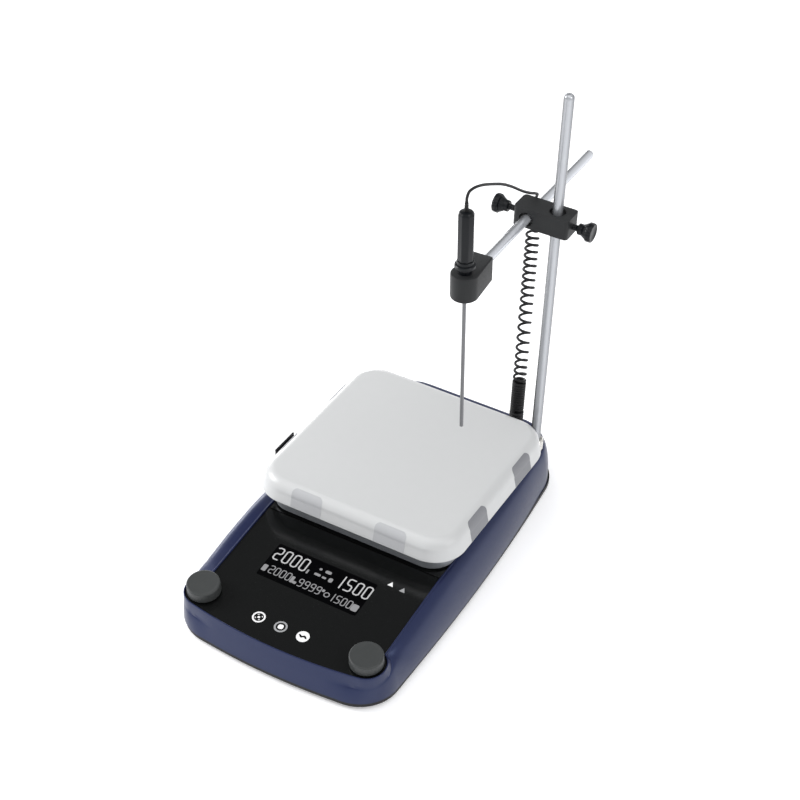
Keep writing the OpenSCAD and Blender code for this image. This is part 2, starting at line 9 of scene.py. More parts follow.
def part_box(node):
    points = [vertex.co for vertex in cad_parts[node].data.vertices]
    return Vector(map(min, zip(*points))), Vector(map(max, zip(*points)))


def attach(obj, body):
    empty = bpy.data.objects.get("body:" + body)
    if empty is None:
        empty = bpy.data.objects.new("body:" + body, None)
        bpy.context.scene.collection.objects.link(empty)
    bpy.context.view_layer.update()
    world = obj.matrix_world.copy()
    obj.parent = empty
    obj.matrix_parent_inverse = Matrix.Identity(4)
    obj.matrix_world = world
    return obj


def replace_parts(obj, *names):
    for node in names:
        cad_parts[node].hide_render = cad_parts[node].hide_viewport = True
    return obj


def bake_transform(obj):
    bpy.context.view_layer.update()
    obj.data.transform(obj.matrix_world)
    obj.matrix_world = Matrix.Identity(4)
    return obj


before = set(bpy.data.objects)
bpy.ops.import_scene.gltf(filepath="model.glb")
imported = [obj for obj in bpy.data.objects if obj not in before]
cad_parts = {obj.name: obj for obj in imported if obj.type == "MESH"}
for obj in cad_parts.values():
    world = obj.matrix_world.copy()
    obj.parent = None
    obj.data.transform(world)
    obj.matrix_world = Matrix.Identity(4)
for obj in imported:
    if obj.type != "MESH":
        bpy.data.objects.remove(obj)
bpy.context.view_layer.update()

scene = bpy.context.scene
MM = 0.001


# ---- Camera ----

CAMERA_TARGET = Vector((-0.0905, 0.1429, 0.0))
CAMERA_DISTANCE = 1.6597
CAMERA_YAW = math.radians(28.639)
CAMERA_PITCH = math.radians(38.333)
CAMERA_ROLL = math.radians(2.004)
CAMERA_LENS = 81.02
CAMERA_SHIFT = (0.00936, -0.00264)


def make_camera():
    """A camera that looks down on the front right of the stirrer."""
    ahead = Vector((-math.sin(CAMERA_YAW) * math.cos(CAMERA_PITCH),
                    math.cos(CAMERA_YAW) * math.cos(CAMERA_PITCH),
                    -math.sin(CAMERA_PITCH)))
    right = Vector((math.cos(CAMERA_YAW), math.sin(CAMERA_YAW), 0))
    up = right.cross(ahead)
    across = math.cos(CAMERA_ROLL) * right + math.sin(CAMERA_ROLL) * up
    upright = -math.sin(CAMERA_ROLL) * right + math.cos(CAMERA_ROLL) * up
    place = Matrix((across, upright, -ahead)).transposed().to_4x4()
    place.translation = CAMERA_TARGET - ahead * CAMERA_DISTANCE
    data = bpy.data.cameras.new("camera")
    data.lens = CAMERA_LENS
    data.sensor_width = 36
    data.shift_x, data.shift_y = CAMERA_SHIFT
    data.clip_start = 0.05
    data.clip_end = 60
    camera = bpy.data.objects.new("camera", data)
    camera.matrix_world = place
    scene.collection.objects.link(camera)
    scene.camera = camera


make_camera()


# ---- Mesh tools: everything below is built in millimetres and scaled once ----

def shade_smooth(mesh, degrees):
    """Smooth shading that keeps the edges sharper than an angle."""
    mesh.polygons.foreach_set("use_smooth", [True] * len(mesh.polygons))
    mesh.set_sharp_from_angle(angle=math.radians(degrees))


def make_object(name, points, faces, finish, smooth=35):
    """A mesh object from points in millimetres, with one material."""
    mesh = bpy.data.meshes.new(name)
    mesh.from_pydata([Vector(p) * MM for p in points], [], faces)
    mesh.validate()
    made = bmesh.new()
    made.from_mesh(mesh)
    bmesh.ops.recalc_face_normals(made, faces=made.faces)
    made.to_mesh(mesh)
    made.free()
    mesh.materials.append(finish)
    if smooth:
        shade_smooth(mesh, smooth)
    obj = bpy.data.objects.new(name, mesh)
    scene.collection.objects.link(obj)
    return obj


def rings_to_faces(rings, size, wrap=False):
    """Quads between rings of one size; the end rings are closed by faces, or joined to each other by wrap."""
    faces = []
    for i in range(rings if wrap else rings - 1):
        j = (i + 1) % rings
        for k in range(size):
            m = (k + 1) % size
            faces.append((i * size + k, i * size + m, j * size + m, j * size + k))
    if not wrap:
        faces.append(tuple(range(size - 1, -1, -1)))
        faces.append(tuple((rings - 1) * size + k for k in range(size)))
    return faces


def lathe(name, profile, finish, place=Matrix.Identity(4), sides=64, lobes=None, smooth=35):
    """Turns a profile of (radius, height) round the local Z axis, then moves it by place (in millimetres)."""
    points = []
    for radius, height in profile:
        for k in range(sides):
            angle = 2 * math.pi * k / sides
            reach = radius * (lobes(angle, radius, height) if lobes else 1)
            points.append(place @ Vector((reach * math.cos(angle), reach * math.sin(angle), height)))
    return make_object(name, points, rings_to_faces(len(profile), sides), finish, smooth)


def tube(name, path, radius, finish, sides=10):
    """A round tube along a path, its rings carried along without twist."""
    steps = [Vector(p) for p in path]
    across = None
    points = []
    for i, p in enumerate(steps):
        ahead = (steps[min(i + 1, len(steps) - 1)] - steps[max(i - 1, 0)]).normalized()
        if across is None:
            across = ahead.cross(Vector((1, 0.2, 0.1))).normalized()
        across = (across - ahead * across.dot(ahead)).normalized()
        other = ahead.cross(across)
        for k in range(sides):
            angle = 2 * math.pi * k / sides
            points.append(p + radius * (math.cos(angle) * across + math.sin(angle) * other))
    return make_object(name, points, rings_to_faces(len(steps), sides), finish, smooth=60)


def rounded_outline(width, depth, radius, steps=12):
    """A rounded rectangle about the origin, as points anticlockwise."""
    points = []
    for corner in range(4):
        sx = (1, -1, -1, 1)[corner]
        sy = (1, 1, -1, -1)[corner]
        for k in range(steps + 1):
            angle = math.radians(90 * corner + 90 * k / steps)
            points.append((sx * (width / 2 - radius) + radius * math.cos(angle),
                           sy * (depth / 2 - radius) + radius * math.sin(angle)))
    return points


def layered(name, layers, finish, place=Matrix.Identity(4), smooth=35):
    """A solid from outlines of equal size stacked at heights: a list of (outline, height)."""
    size = len(layers[0][0])
    points = [place @ Vector((x, y, z)) for outline, z in layers for x, y in outline]
    return make_object(name, points, rings_to_faces(len(layers), size), finish, smooth)


def quarter_round(edge, steps=5):
    """(inset, drop) pairs of a rounded edge, from the side's top to the face's edge."""
    pairs = []
    for k in range(steps + 1):
        angle = math.pi / 2 * k / steps
        pairs.append((edge * (1 - math.cos(angle)), edge * (1 - math.sin(angle))))
    return pairs


def cut(obj, cutters):
    """Cuts the cutters out of obj for good, and removes them."""
    for cutter in cutters:
        step = obj.modifiers.new("cut", "BOOLEAN")
        step.object = cutter
        step.operation = "DIFFERENCE"
        step.solver = "EXACT"
    bpy.context.view_layer.update()
    finished = bpy.data.meshes.new_from_object(obj.evaluated_get(bpy.context.evaluated_depsgraph_get()))
    obj.modifiers.clear()
    obj.data = finished
    for cutter in cutters:
        bpy.data.objects.remove(cutter)
    return obj


def box_cutter(x0, y0, z0, x1, y1, z1):
    outline = [(x0, y0), (x1, y0), (x1, y1), (x0, y1)]
    return layered("cutter", [(outline, z0), (outline, z1)], paint, smooth=None)


# ---- Materials ----

def to_linear(colour):
    """An 8-bit screen colour as linear light."""
    return [(c / 255 / 12.92) if c < 10.3 else ((c / 255 + 0.055) / 1.055) ** 2.4 for c in colour]


def put(node, values):
    """Sets a node's inputs by name."""
    for name, value in values.items():
        node.inputs[name].default_value = value


def mapped(node_tree, value, low, high, start=0, end=1, curve="LINEAR"):
    """A value socket mapped from start..end to low..high."""
    node = node_tree.nodes.new("ShaderNodeMapRange")
    node.interpolation_type = curve
    put(node, {"From Min": start, "From Max": end, "To Min": low, "To Max": high})
    node_tree.links.new(value, node.inputs["Value"])
    return node.outputs["Result"]


def facing(node_tree, coordinate, direction):
    """How far a texture coordinate points along a direction, from -1 to 1."""
    place = node_tree.nodes.new("ShaderNodeTexCoord")
    node = node_tree.nodes.new("ShaderNodeVectorMath")
    node.operation = "DOT_PRODUCT"
    node.inputs[1].default_value = Vector(direction).normalized()
    node_tree.links.new(place.outputs[coordinate], node.inputs[0])
    return node.outputs["Value"]


def material(name, colour, rough, metal=0.0, change=0.06, mottle=140, grain=1800, bump=0.05,
             rough_change=0.06, specular=0.5, coat=0.0, coat_rough=0.1, stretch=(1, 1, 1)):
    """A surface with mottled colour, uneven gloss and a fine grain, all from noise."""
    made = bpy.data.materials.new(name)
    made.use_nodes = True
    nodes = made.node_tree.nodes
    links = made.node_tree.links
    shader = nodes["Principled BSDF"]
    put(shader, {"Metallic": metal, "Specular IOR Level": specular, "Coat Weight": coat,
                 "Coat Roughness": coat_rough})
    place = nodes.new("ShaderNodeTexCoord")
    scaled = nodes.new("ShaderNodeMapping")
    put(scaled, {"Scale": stretch})
    links.new(place.outputs["Object"], scaled.inputs["Vector"])

    def noise(scale, detail):
        node = nodes.new("ShaderNodeTexNoise")
        put(node, {"Scale": scale, "Detail": detail})
        links.new(scaled.outputs["Vector"], node.inputs["Vector"])
        return node.outputs["Fac"]

    base = to_linear(colour)
    tint = nodes.new("ShaderNodeMix")
    tint.data_type = "RGBA"
    put(tint, {"A": [c * (1 - change) for c in base] + [1],
               "B": [min(1, c * (1 + change)) for c in base] + [1]})
    links.new(noise(mottle, 4), tint.inputs["Factor"])
    links.new(tint.outputs["Result"], shader.inputs["Base Color"])
    gloss = mapped(made.node_tree, noise(mottle * 2.3, 3), max(0.02, rough - rough_change),
                   min(1, rough + rough_change))
    links.new(gloss, shader.inputs["Roughness"])
    relief = nodes.new("ShaderNodeBump")
    put(relief, {"Strength": bump, "Distance": 0.0002})
    links.new(noise(grain, 5), relief.inputs["Height"])
    links.new(relief.outputs["Normal"], shader.inputs["Normal"])
    return made


def glowing(name, colour):
    """A lit mark on a display, with a slightly uneven light."""
    made = material(name, (8, 8, 9), 0.4, specular=0.1)
    nodes = made.node_tree.nodes
    shader = nodes["Principled BSDF"]
    noise = nodes.new("ShaderNodeTexNoise")
    put(noise, {"Scale": 700})
    level = mapped(made.node_tree, noise.outputs["Fac"], 0.9, 1.1)
    put(shader, {"Emission Color": to_linear(colour) + [1]})
    made.node_tree.links.new(level, shader.inputs["Emission Strength"])
    return made


paint = material("housing_paint", (25, 30, 60), 0.32, coat=0.03, coat_rough=0.15, change=0.04, bump=0.04)
cover_black = material("cover_plastic", (24, 24, 27), 0.55, bump=0.12, specular=0.3)
rubber = material("foot_rubber", (22, 22, 23), 0.85, bump=0.2, specular=0.25)
panel_black = material("panel_black", (15, 16, 16), 0.16, specular=0.4, change=0.1, bump=0.01,
                       rough_change=0.03)
glass_black = material("display_glass", (3, 3, 4), 0.3, specular=0.04, change=0.2, bump=0.0)
knob_grey = material("knob_plastic", (56, 58, 58), 0.42, bump=0.08, specular=0.3)
enamel = material("plate_enamel", (190, 191, 191), 0.34, change=0.012, bump=0.025, coat=0.2, coat_rough=0.25)
insert_grey = material("insert_grey", (170, 171, 173), 0.5, bump=0.05, change=0.03)
# A darker copy of the insert grey with painted shade, for the pads on the left and right walls; all the pads
# are one material.
insert_painted_shade = material("insert_painted_shade", (120, 121, 125), 0.5, bump=0.05, change=0.03)
tray_steel = material("tray_steel", (128, 131, 135), 0.4, metal=0.4, bump=0.05, stretch=(1, 8, 1))
collar_steel = material("collar_steel", (215, 213, 208), 0.28, metal=0.7, change=0.03, bump=0.03)
clamp_black = material("clamp_black", (38, 39, 40), 0.46, bump=0.14, mottle=260, specular=0.2)
grip_black = material("grip_black", (10, 13, 17), 0.33, bump=0.05, specular=0.25)
cord_black = material("cord_black", (16, 16, 18), 0.5, bump=0.08, specular=0.35)
board_green = material("board_green", (28, 84, 48), 0.5, bump=0.1)
copper = material("copper", (190, 120, 80), 0.35, metal=1.0, bump=0.05)
iron = material("iron", (120, 121, 124), 0.45, metal=0.9, bump=0.1)
screw_steel = material("screw_steel", (170, 172, 175), 0.3, metal=1.0, bump=0.05)
insulation = material("insulation_white", (222, 220, 212), 0.9, bump=0.5, grain=600, specular=0.1)
lit_mark = glowing("display_mark", (200, 200, 201))
dim_mark = glowing("display_mark_small", (152, 152, 154))
print_white = material("print_white", (228, 228, 228), 0.5, change=0.02, specular=0.2)
print_grey = material("print_grey", (150, 151, 152), 0.5, change=0.04, specular=0.2)
floor_white = material("floor_white", (250, 250, 251), 0.6, change=0.004, mottle=2, grain=40, bump=0.0,
                       specular=0.05)
put(paint.node_tree.nodes["Principled BSDF"], {"Specular Tint": (0.5, 0.62, 1.0, 1)})
put(floor_white.node_tree.nodes["Principled BSDF"],
    {"Emission Color": (1, 1, 1, 1), "Emission Strength": 0.24})

# Painted reflection for the steel bars: levels of their colour by how far the surface faces along one
# direction, dark at both ends of the scale and light between.
PAINTED_REFLECTION_BANDS = ((0.0, 0.16), (0.07, 0.26), (0.14, 0.46), (0.34, 0.62),
           (0.62, 0.70), (0.80, 0.52), (0.93, 0.30), (1.0, 0.20))


def multiplied(node_tree, first, second):
    """The product of a colour socket with another one, or with a fixed colour."""
    both = node_tree.nodes.new("ShaderNodeMix")
    both.data_type = "RGBA"
    both.blend_type = "MULTIPLY"
    put(both, {"Factor": 1.0})
    node_tree.links.new(first, both.inputs["A"])
    if isinstance(second, tuple):
        put(both, {"B": second})
    else:
        node_tree.links.new(second, both.inputs["B"])
    return both.outputs["Result"]


def polished_bar(name, across, stretch, brightness):
    """Polished steel with a painted reflection: its colour is lighter and darker in bands along the bar by
    the way the surface faces, darker on the two sides that face along across.
    """
    made = material(name, (190, 192, 195), 0.26, metal=0.65, change=0.03, grain=900, bump=0.002,
                    rough_change=0.02, stretch=stretch)
    nodes = made.node_tree.nodes
    links = made.node_tree.links
    shader = nodes["Principled BSDF"]
    spread = mapped(made.node_tree, facing(made.node_tree, "Normal", across), 0, 1, start=-1)
    painted_reflection = nodes.new("ShaderNodeValToRGB")
    while len(painted_reflection.color_ramp.elements) < len(PAINTED_REFLECTION_BANDS):
        painted_reflection.color_ramp.elements.new(0.5)
    for element, (at, level) in zip(painted_reflection.color_ramp.elements, PAINTED_REFLECTION_BANDS):
        element.position = at
        element.color = (level, level * 1.005, level * 1.02, 1)
    links.new(spread, painted_reflection.inputs["Fac"])
    mottled = shader.inputs["Base Color"].links[0].from_socket
    with_painted_reflection = multiplied(made.node_tree, mottled, painted_reflection.outputs["Color"])
    bright = multiplied(made.node_tree, with_painted_reflection, (brightness, brightness, brightness, 1))
    links.new(bright, shader.inputs["Base Color"])
    return made


# The rod's painted reflection is dark on the two sides facing along the camera's sideways direction and light
# between; the arm's is painted brighter.
steel = polished_bar("steel", (0.878, 0.479, 0), (1, 1, 12), 1.35)
arm_steel = polished_bar("arm_steel", (0.6, 0, -0.8), (1, 12, 1), 2.1)
needle_steel = material("needle_steel", (112, 113, 115), 0.4, metal=0.4, change=0.05, bump=0.02,
                        stretch=(1, 1, 8))

NODE_FINISHES = {
    "cover_plastic": (cover_black, ["bottom_cover", "fan_frame", "fan_rotor", "power_inlet", "fuse_drawer",
                                    "switch_frame", "power_rocker", "button_switches", "probe_socket",
                                    "plate_clip", "arm_end_cap", "left_encoder", "right_encoder"]),
    "foot_rubber": (rubber, ["rubber_feet"]),
    "panel_black": (panel_black, ["control_panel", "rear_deck"]),
    "display_glass": (glass_black, ["display_window"]),
    "board_green": (board_green, ["main_board", "power_board", "display_module"]),
    "copper": (copper, ["heating_element"]),
    "iron": (iron, ["transformer", "motor_stator", "drive_magnets"]),
    "tray_steel": (tray_steel, ["plate_tray", "motor_bracket", "magnet_holder"]),
    "screw_steel": (screw_steel, ["cover_screws", "holder_screw", "plate_standoffs", "motor_shaft"]),
    "insulation_white": (insulation, ["insulation_disc"]),
    "clamp_black": (clamp_black, ["clamp_block", "probe_holder"]),
}
STEEL_FINISHES = {"support_rod": steel, "cross_rod": arm_steel, "rod_socket": collar_steel,
                  "probe_needle": needle_steel}


def dress_node(name, finish):
    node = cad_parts[name]
    node.data.materials.clear()
    node.data.materials.append(finish)


def dress_nodes():
    """Gives each CAD node that stays its finish."""
    for slot, (finish, names) in NODE_FINISHES.items():
        for name in names:
            dress_node(name, finish)
    for name, finish in STEEL_FINISHES.items():
        dress_node(name, finish)


def weld_and_bevel(name, width):
    """Joins a CAD node's split corners in the render and rounds its edges."""
    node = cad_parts[name]
    weld = node.modifiers.new("weld", "WELD")
    weld.merge_threshold = 0.00001
    bevel = node.modifiers.new("bevel", "BEVEL")
    bevel.width = width * MM
    bevel.segments = 3
    bevel.limit_method = "ANGLE"
    bevel.angle_limit = math.radians(35)
    bevel.harden_normals = True


def mix(a, b, t):
    return a + (b - a) * t


def ease(t):
    t = min(1, max(0, t))
    return t * t * (3 - 2 * t)


# ---- The sloped panel's frame ----

PANEL_TILT = math.radians(6)
PANEL_FRONT_Y = -205
PANEL_FRONT_Z = 31.5
DECK_Z = 44


def on_panel(x, y, up=0.0):
    """Moves local millimetres onto the sloped panel: x across, y up its slope, z out of its face."""
    along = (y - PANEL_FRONT_Y) / math.cos(PANEL_TILT)
    return (Matrix.Translation((x, PANEL_FRONT_Y, PANEL_FRONT_Z))
            @ Matrix.Rotation(PANEL_TILT, 4, "X")
            @ Matrix.Translation((0, along, up)))


def panel_height(y):
    return min(DECK_Z, PANEL_FRONT_Z + (y - PANEL_FRONT_Y) * math.tan(PANEL_TILT))


# ---- Cord ----

CABLE_D = 2.3
COIL_WIRE_D = 2.2
COIL_D = 12
COIL_X = 46.5
COIL_Y = 116
COIL_TOP_Z = 250
COIL_FOOT_Z = 62
COIL_TIGHT_Z = 94
COIL_SPLIT_Z = 130
COIL_SLANT = 0.36
COIL_SLANT_TURN = math.radians(118)
CABLE_ROUTE = [
    (48.5, -11, 341), (48.4, -10.6, 344.5), (48.5, -8, 347.6), (49.2, -3, 348.2), (50, 4, 346.8),
    (50.2, 14, 342.8), (50, 29, 335.4), (50, 45, 326.9), (50, 62, 315.9), (49.6, 82, 301.6),
    (49.8, 96, 292.6), (49.8, 105.5, 287.2), (49.2, 112.2, 282.8), (47.2, 115.6, 278.4), (45.2, 116.6, 273),
    (45.2, 116.4, 267), (46.2, 116, 261), (46.5, 116, 256), (46.5, 116, 253), (46.5, 116, 250),
]
LEAD_CUTS = (18.0, 64.0)
LEAD_PARTS = [
    ("probe_lead", "probe", "holder", (0, -9, 0), (0, 16, 0)),
    ("middle_lead", "holder", "arm", (0, 20, 0), (0, 62, 0)),
    ("clamp_lead", "arm", "clamp", (0, 0, 312), (0, 0, 258)),
]


def smooth_route(points, steps):
    """A smooth curve through given points."""
    p = [Vector(q) for q in points]
    route = []
    for i in range(len(p) - 1):
        a, b, c, d = p[max(i - 1, 0)], p[i], p[i + 1], p[min(i + 2, len(p) - 1)]
        for s in range(steps):
            t = s / steps
            route.append(0.5 * (2 * b + (c - a) * t + (2 * a - 5 * b + 4 * c - d) * t ** 2
                                + (3 * b - a - 3 * c + d) * t ** 3))
    route.append(p[-1])
    return route


def make_lead():
    """The thin lead from the probe to the coil, in three pieces cut at two places along it."""
    route = smooth_route(CABLE_ROUTE, 6)
    first = [p for p in route if p.y <= LEAD_CUTS[0]]
    middle = [first[-1]] + [p for p in route if LEAD_CUTS[0] < p.y <= LEAD_CUTS[1]]
    last = [middle[-1]] + [p for p in route if p.y > LEAD_CUTS[1]]
    for path, (name, near, far, start, end) in zip((first, middle, last), LEAD_PARTS):
        piece = tube(name, path, CABLE_D / 2, cord_black)
        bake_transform(piece)
        if near == "probe":
            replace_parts(piece, "probe_cable")


def coil_pitch(z):
    """The rise of one turn at a height: stretched above, tight at the foot."""
    if z < COIL_TIGHT_Z:
        return COIL_WIRE_D + 0.25
    spread = 40 if z > 143 else 26
    return 6.6 + 4.0 * math.exp(-((z - 143) / spread) ** 2)


def coil_path():
    """The helix from the coil's top to its foot, anticlockwise on its way down, its turns hanging aslant."""
    steps = 24
    full = (COIL_D - COIL_WIRE_D) / 2
    path = []
    z = COIL_TOP_Z - 0.5
    turn = math.radians(150)
    run = 0
    while z > COIL_FOOT_Z + 1:
        reach = full * (0.02 + 0.98 * ease(run / steps))
        slant = COIL_SLANT * ease((z - COIL_TIGHT_Z + 4) / 12) * ease((COIL_TOP_Z - z) / 12)
        back = reach * math.cos(turn - COIL_SLANT_TURN)
        across = Vector((reach * math.cos(turn), reach * math.sin(turn), -slant * back))
        path.append(Vector((COIL_X, COIL_Y, z)) + across)
        turn += 2 * math.pi / steps
        z -= coil_pitch(z) / steps
        run += 1
    return [Vector((COIL_X, COIL_Y, COIL_TOP_Z))] + path


def make_coil():
    """The curly cord as a real helix, in two pieces split part way down the rod."""
    path = coil_path()
    split = next(i for i, p in enumerate(path) if p.z < COIL_SPLIT_Z)
    parts = [("coil_upper", path[:split + 1], "mast", "clamp", COIL_SPLIT_Z, COIL_TOP_Z - 2, "object"),
             ("coil_lower", path[split:], "base", "mast", COIL_FOOT_Z + 8, COIL_SPLIT_Z, "plug")]
    pieces = []
    for name, line, low_body, high_body, low, high, far_end in parts:
        piece = tube(name, line, COIL_WIRE_D / 2, cord_black, sides=9)
        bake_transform(piece)
        pieces.append((piece, line, far_end))
    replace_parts(pieces[0][0], "cable_coil")
    plug = make_plug()


def make_plug():
    """The plug at the coil's foot: a pin under a sleeve that is ribbed like the coil's closed turns."""
    profile = [(0, 36), (3.4, 36), (3.8, 36.5), (3.8, 46.3), (5.2, 46.3)]
    for k in range(6):
        z = 46.6 + 2.5 * k
        profile += [(5.4, z), (6.1, z + 0.6), (6.2, z + 1.2), (6.1, z + 1.8), (5.4, z + 2.4)]
    profile += [(0, 61.8)]
    plug = lathe("coil_plug_body", profile, cord_black, Matrix.Translation((COIL_X, 114, 0)), sides=48)
    for vertex in plug.data.vertices:
        vertex.co.y += 0.002 * ease((vertex.co.z - 0.046) / 0.008)
    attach(plug, "base")
    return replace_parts(plug, "coil_plug")


make_lead()
make_coil()


# ---- Housing ----

KNOB_X = 73.7
KNOB_Y = -183.5
POCKET_R = 15.1
BOSS_R = 16.3
LIP_Z = 8
LIP_CORNER_X = 61.0
LIP_CORNER_Y = -172
LIP_CORNER_R = 34
LIP_REAR_X = 44.2
LIP_REAR_Y = 90.5
LIP_REAR_R = 44
BACK_Y = 134.5
DECK_CORNER_X = 51
DECK_CORNER_Y = 96.3
DECK_CORNER_R = 26
PANEL_HALF = 81.5
RIDGE_UP = 1.4
RIM_W = 1.4
SHELL = 2.4
LEFT_BAND = 3.6
SIDE_WIDEST = 97
SIDE_WIDEST_Y = -80
SIDE_BOW_FRONT = 4200
SIDE_BOW_REAR = 3300
FRONT_LIP_Y = -209.5
FRONT_LIP_BOW = 1060
FRONT_INNER_BOW = 882
WALL_DEPTH = 11.5
BACK_RIM_MORE = 1.2
POCKET_START = -80
POCKET_SWEEP = 139
BOSS_END = 55.2
KNOB_FLANK = 1.35
RIGHT_FLANK = 1.85
LEFT_FLANK = 4.0
REAR_FLANK = 2.2
BACK_FLANK = 4.2


def side_x(y):
    """The right half's lower edge at y; a smaller bow number is a rounder side."""
    bow = SIDE_BOW_REAR if y > SIDE_WIDEST_Y else SIDE_BOW_FRONT
    return SIDE_WIDEST - (y - SIDE_WIDEST_Y) ** 2 / bow


def outside_lip(x, y):
    """Above 0 where a point of the right half lies outside the housing's lower edge."""
    if x > LIP_CORNER_X and y < LIP_CORNER_Y:
        return math.hypot(x - LIP_CORNER_X, y - LIP_CORNER_Y) - LIP_CORNER_R
    if x > LIP_REAR_X and y > LIP_REAR_Y:
        return math.hypot(x - LIP_REAR_X, y - LIP_REAR_Y) - LIP_REAR_R
    return max(x - side_x(y), FRONT_LIP_Y + x * x / FRONT_LIP_BOW - y, y - BACK_Y)


def lip_from(start, direction):
    """Where a line from a point inside meets the lower edge."""
    low, high = 0.0, 60.0
    for _ in range(40):
        middle = (low + high) / 2
        if outside_lip(start.x + direction.x * middle, start.y + direction.y * middle) > 0:
            high = middle
        else:
            low = middle
    return start + direction * low


def heading(degrees):
    return Vector((math.cos(math.radians(degrees)), math.sin(math.radians(degrees))))


def front_inner(x):
    return PANEL_FRONT_Y + x * x / FRONT_INNER_BOW


def wall_depth(angle):
    """How deep the upright wall is round the knob, by the angle about the knob's axis."""
    return WALL_DEPTH * (1 - (1 - min(1, max(0, (65 - angle) / 150))) ** 2.8)


def housing_stations(band):
    """(inner edge, rim, crease, lower edge, wall depth, flank power) round one half, front to back."""
    stations = []
    fullness = LEFT_FLANK if band else RIGHT_FLANK
    knob = Vector((KNOB_X, KNOB_Y))
    tangent_x = KNOB_X + POCKET_R * math.cos(math.radians(POCKET_START))
    for k in range(18):
        x = tangent_x * k / 18
        turn = -90 + 10 * (x / tangent_x) ** 2
        inner = Vector((x, front_inner(x)))
        rim = inner + heading(turn) * (RIM_W - 0.2)
        lip = lip_from(rim, heading(turn))
        depth = wall_depth(POCKET_START)
        blend = ease((x - 48) / 26)
        crease = mix(mix(rim, lip, 0.5), rim + heading(turn) * 0.1, blend)
        stations.append((inner, rim, crease, lip, depth, mix(1.0, KNOB_FLANK, blend)))
    for k in range(45):
        angle = POCKET_START + POCKET_SWEEP * k / 44
        inner = knob + heading(angle) * POCKET_R
        rim_angle = POCKET_START + (BOSS_END - POCKET_START) * k / 44
        rim = knob + heading(rim_angle) * BOSS_R
        crease_r = BOSS_R + 2.4 * ease((rim_angle + 37) / 75)
        depth = wall_depth(rim_angle)
        crease = knob + heading(rim_angle) * mix(BOSS_R, crease_r, min(1, depth / 4))
        lip = lip_from(rim, heading(rim_angle))
        power = mix(KNOB_FLANK, fullness, ease((angle + 60) / 110))
        stations.append((inner, rim, crease, lip, depth, power))
    first_inner = stations[-1][0]
    first_lip = stations[-1][3]
    first_depth = stations[-1][4]
    side_steps = 34
    for k in range(1, side_steps + 1):
        t = k / side_steps
        y = mix(first_inner.y, DECK_CORNER_Y, t ** 1.25)
        narrow = max(0, (y + 74) / (DECK_CORNER_Y + 74))
        inner = Vector((mix(PANEL_HALF, DECK_CORNER_X + DECK_CORNER_R, narrow), y))
        inset = band * ease((y - first_inner.y + 2) / 7) * (1 - ease((y + 50) / 60))
        inner.x -= inset
        rim = inner + Vector((RIM_W, 0))
        lag = (first_lip.y - first_inner.y) * (1 - ease((y - first_inner.y) / 60))
        lip = Vector((side_x(y + lag), y + lag))
        if y > LIP_REAR_Y - 6:
            lip = lip_from(rim, Vector((1, 0)))
        depth = first_depth * (1 - ease((y - first_inner.y) / 7))
        power = mix(fullness, REAR_FLANK, ease((y + 30) / 100))
        stations.append((inner, rim, rim + Vector((0.05, 0)), lip, depth, power))
    corner = Vector((DECK_CORNER_X, DECK_CORNER_Y))
    for k in range(1, 21):
        angle = 90 * k / 20
        inner = corner + heading(angle) * DECK_CORNER_R
        rim = corner + heading(angle) * (DECK_CORNER_R + RIM_W + BACK_RIM_MORE * ease(angle / 90))
        lip = lip_from(rim, heading(angle))
        power = mix(REAR_FLANK, BACK_FLANK, ease((angle - 45) / 45))
        stations.append((inner, rim, rim + heading(angle) * 0.05, lip, 0, power))
    for k in range(1, 9):
        x = DECK_CORNER_X * (1 - k / 8)
        inner = Vector((x, DECK_CORNER_Y + DECK_CORNER_R))
        rim = inner + Vector((0, RIM_W + BACK_RIM_MORE))
        stations.append((inner, rim, rim + Vector((0, 0.05)), Vector((x, BACK_Y)), 0, BACK_FLANK))
    return stations


def housing_profile(inner, rim, crease, lip, depth, power):
    """One station's closed section, from inside the opening over the rim and down to the lower edge."""
    top = panel_height(inner.y) + RIDGE_UP * (1 - 0.85 * ease((inner.y - 60) / 35))
    edge = 0.55
    section = [(inner, top - 6), (inner, top - edge)]
    for k in range(1, 7):
        swing = math.pi * k / 7
        across = 0.5 - 0.5 * math.cos(swing)
        section.append((mix(inner, rim, across), top - edge + edge * math.sin(swing) ** 0.7))
    section.append((rim, top - edge))
    wall = max(depth, 0.15)
    for k in range(1, 4):
        section.append((mix(rim, crease, k / 3), top - edge - wall * k / 3))
    crease_z = top - edge - wall
    for k in range(1, 15):
        swing = math.pi / 2 * k / 14
        out = math.sin(swing) ** (2 / power)
        up = math.cos(swing) ** (2 / power) if k < 14 else 0
        section.append((mix(crease, lip, out), LIP_Z + (crease_z - LIP_Z) * up))
    inward = (inner - lip).normalized() * SHELL
    section.append((lip + inward, LIP_Z))
    section.append((lip + inward, LIP_Z + 4))
    section.append((mix(inner, rim, 0.6), top - 8))
    return [(p.x, p.y, z) for p, z in section]


